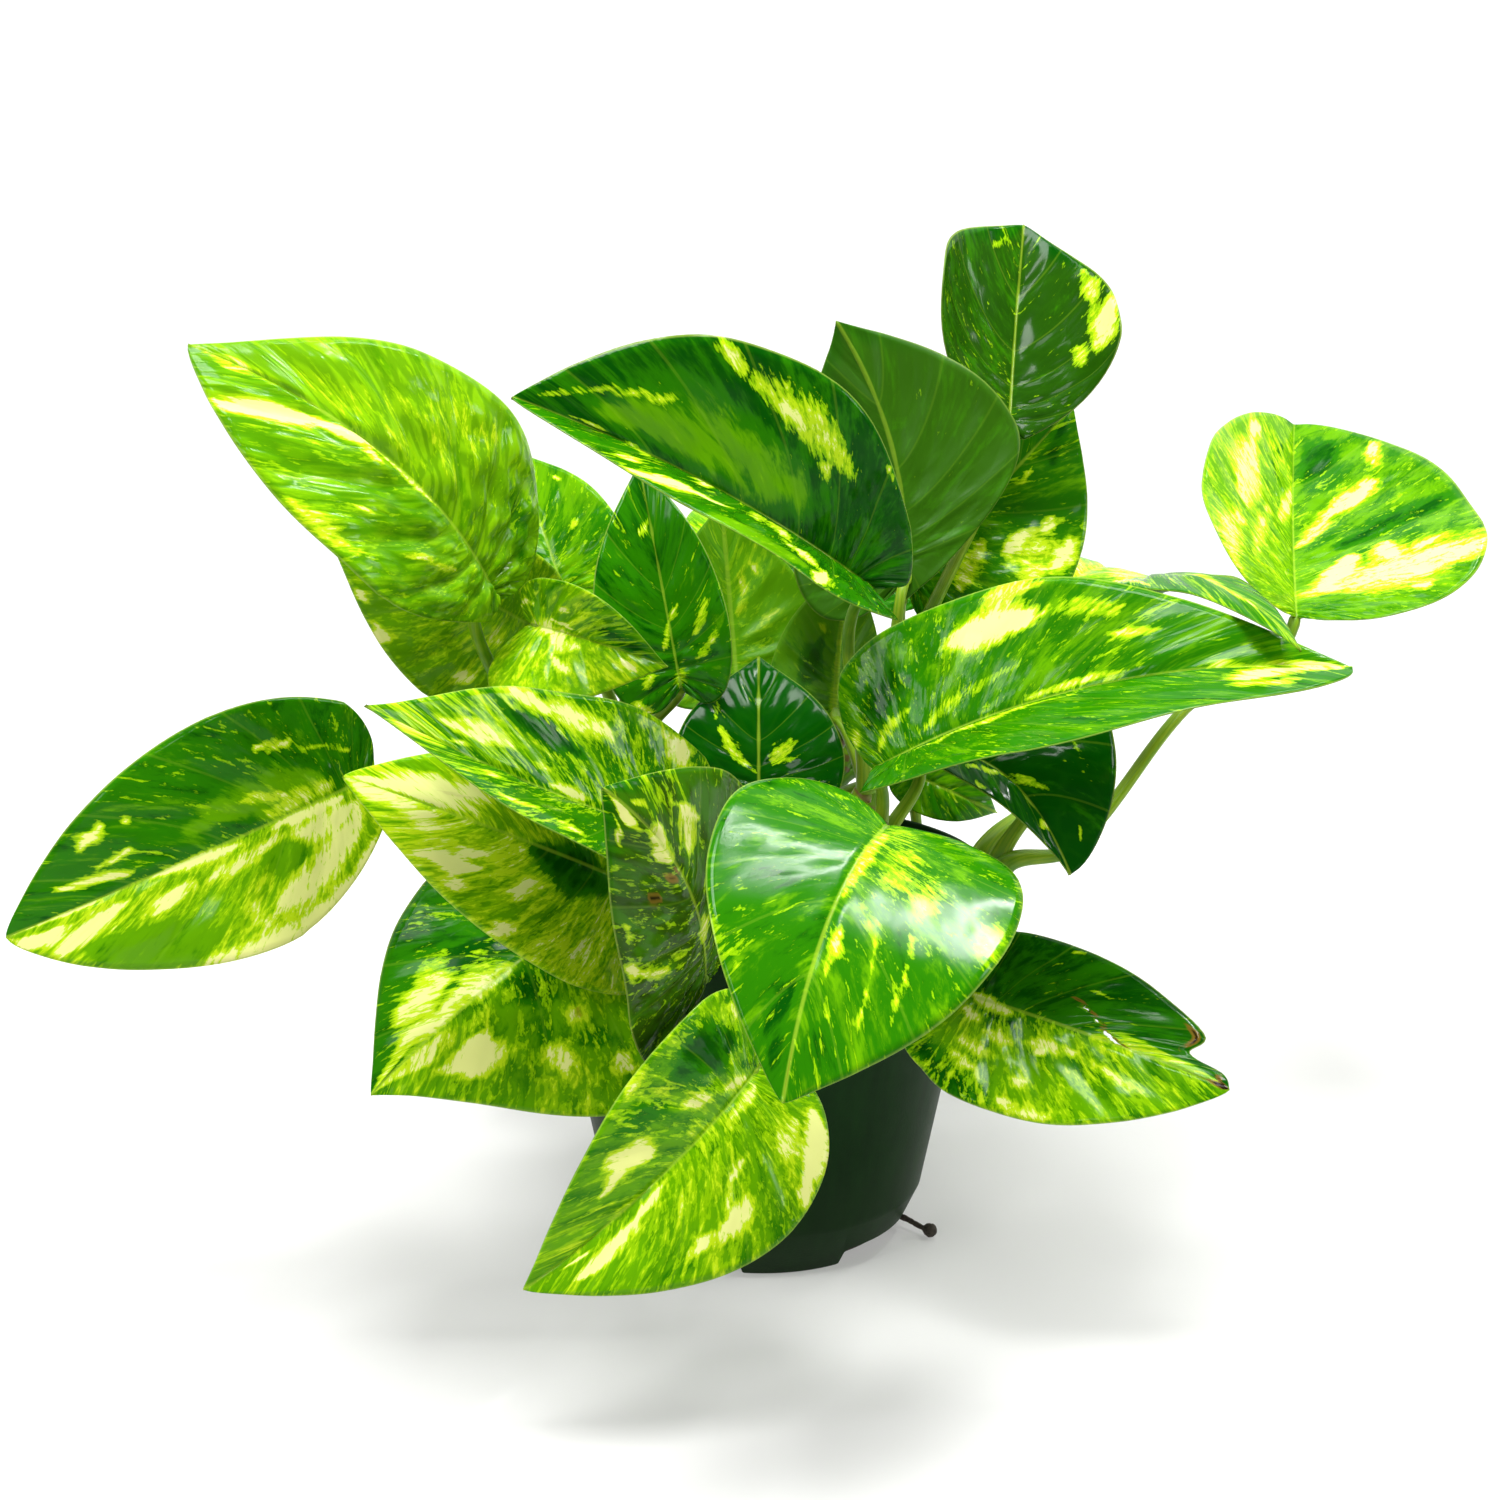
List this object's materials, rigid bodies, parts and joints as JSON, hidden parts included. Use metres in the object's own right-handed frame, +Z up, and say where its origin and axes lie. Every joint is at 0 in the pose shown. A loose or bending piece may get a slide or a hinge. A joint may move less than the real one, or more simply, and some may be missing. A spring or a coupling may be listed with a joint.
{
  "type": "potted hawaiian pothos",
  "caption": "Potted hawaiian pothos: glossy heart-shaped green leaves streaked cream and yellow, on leaf stalks from rooted cuttings, in a tapered dark green plastic nursery pot.",
  "frame": {"origin": "centre of the pot's flat underside, on the surface that it stands on", "axes": "+Z up along the pot's axis, -Y towards the front of the plant, +X to the right as seen from the front"},
  "size_m": [0.342, 0.2944, 0.236],
  "materials": {
    "pot": "thin moulded plastic, satin",
    "soil": "damp peat and bark potting mix",
    "drain_root": "dry root skin",
    "leaf_far_left": "waxy leaf, satin gloss, cream and yellow variegation",
    "leaf_top_left": "waxy leaf, satin gloss, cream and yellow variegation",
    "leaf_top_middle": "waxy leaf, satin gloss, cream and yellow variegation",
    "leaf_turned": "waxy leaf, satin gloss, cream and yellow variegation",
    "leaf_crown": "waxy leaf, satin gloss, cream and yellow variegation",
    "leaf_behind_crown": "waxy leaf, satin gloss, cream and yellow variegation",
    "leaf_left_low": "waxy leaf, satin gloss, cream and yellow variegation",
    "leaf_left_high": "waxy leaf, satin gloss, cream and yellow variegation",
    "leaf_front_narrow": "waxy leaf, satin gloss, cream and yellow variegation",
    "leaf_front_heart": "waxy leaf, satin gloss, cream and yellow variegation",
    "leaf_left_bottom": "waxy leaf, satin gloss, cream and yellow variegation",
    "leaf_right_long": "waxy leaf, satin gloss, cream and yellow variegation",
    "leaf_front_bottom": "waxy leaf, satin gloss, cream and yellow variegation",
    "leaf_right_low": "waxy leaf, satin gloss, cream and yellow variegation",
    "leaf_dark_right": "waxy leaf, satin gloss, cream and yellow variegation",
    "leaf_far_right": "waxy leaf, satin gloss, cream and yellow variegation",
    "leaf_right_edge": "waxy leaf, satin gloss, cream and yellow variegation",
    "leaf_right_back": "waxy leaf, satin gloss, cream and yellow variegation",
    "leaf_middle_dark": "waxy leaf, satin gloss, cream and yellow variegation",
    "leaf_inner_dark": "waxy leaf, satin gloss, cream and yellow variegation",
    "leaf_left_behind": "waxy leaf, satin gloss, cream and yellow variegation",
    "leaf_inner_olive": "waxy leaf, satin gloss, cream and yellow variegation",
    "leaf_inner_stripe": "waxy leaf, satin gloss, cream and yellow variegation",
    "leaf_left_small": "waxy leaf, satin gloss, cream and yellow variegation",
    "leaf_left_under": "waxy leaf, satin gloss, cream and yellow variegation",
    "leaf_right_olive": "waxy leaf, satin gloss, cream and yellow variegation",
    "leaf_back_high": "waxy leaf, satin gloss, cream and yellow variegation",
    "leaf_back_middle": "waxy leaf, satin gloss, cream and yellow variegation",
    "leaf_back_left": "waxy leaf, satin gloss, cream and yellow variegation",
    "leaf_back_right": "waxy leaf, satin gloss, cream and yellow variegation",
    "leaf_low_left": "waxy leaf, satin gloss, cream and yellow variegation",
    "leaf_low_back": "waxy leaf, satin gloss, cream and yellow variegation",
    "leaf_low_right": "waxy leaf, satin gloss, cream and yellow variegation",
    "vine_left_front": "smooth green stem and leaf stalks",
    "vine_left": "smooth green stem and leaf stalks",
    "vine_front": "smooth green stem and leaf stalks",
    "vine_middle": "smooth green stem and leaf stalks",
    "vine_crown": "smooth green stem and leaf stalks",
    "vine_right_front": "smooth green stem and leaf stalks",
    "vine_right": "smooth green stem and leaf stalks",
    "vine_inner": "smooth green stem and leaf stalks",
    "vine_back": "smooth green stem and leaf stalks",
    "vine_back_left": "smooth green stem and leaf stalks"
  },
  "bodies": {
    "root": {"pot": "pot", "soil": "soil", "drain_root": "drain_root", "leaf_far_left": "leaf_far_left", "leaf_top_left": "leaf_top_left", "leaf_top_middle": "leaf_top_middle", "leaf_turned": "leaf_turned", "leaf_crown": "leaf_crown", "leaf_behind_crown": "leaf_behind_crown", "leaf_left_low": "leaf_left_low", "leaf_left_high": "leaf_left_high", "leaf_front_narrow": "leaf_front_narrow", "leaf_front_heart": "leaf_front_heart", "leaf_left_bottom": "leaf_left_bottom", "leaf_right_long": "leaf_right_long", "leaf_front_bottom": "leaf_front_bottom", "leaf_right_low": "leaf_right_low", "leaf_dark_right": "leaf_dark_right", "leaf_far_right": "leaf_far_right", "leaf_right_edge": "leaf_right_edge", "leaf_right_back": "leaf_right_back", "leaf_middle_dark": "leaf_middle_dark", "leaf_inner_dark": "leaf_inner_dark", "leaf_left_behind": "leaf_left_behind", "leaf_inner_olive": "leaf_inner_olive", "leaf_inner_stripe": "leaf_inner_stripe", "leaf_left_small": "leaf_left_small", "leaf_left_under": "leaf_left_under", "leaf_right_olive": "leaf_right_olive", "leaf_back_high": "leaf_back_high", "leaf_back_middle": "leaf_back_middle", "leaf_back_left": "leaf_back_left", "leaf_back_right": "leaf_back_right", "leaf_low_left": "leaf_low_left", "leaf_low_back": "leaf_low_back", "leaf_low_right": "leaf_low_right", "vine_left_front": "vine_left_front", "vine_left": "vine_left", "vine_front": "vine_front", "vine_middle": "vine_middle", "vine_crown": "vine_crown", "vine_right_front": "vine_right_front", "vine_right": "vine_right", "vine_inner": "vine_inner", "vine_back": "vine_back", "vine_back_left": "vine_back_left"}
  },
  "joints": []
}
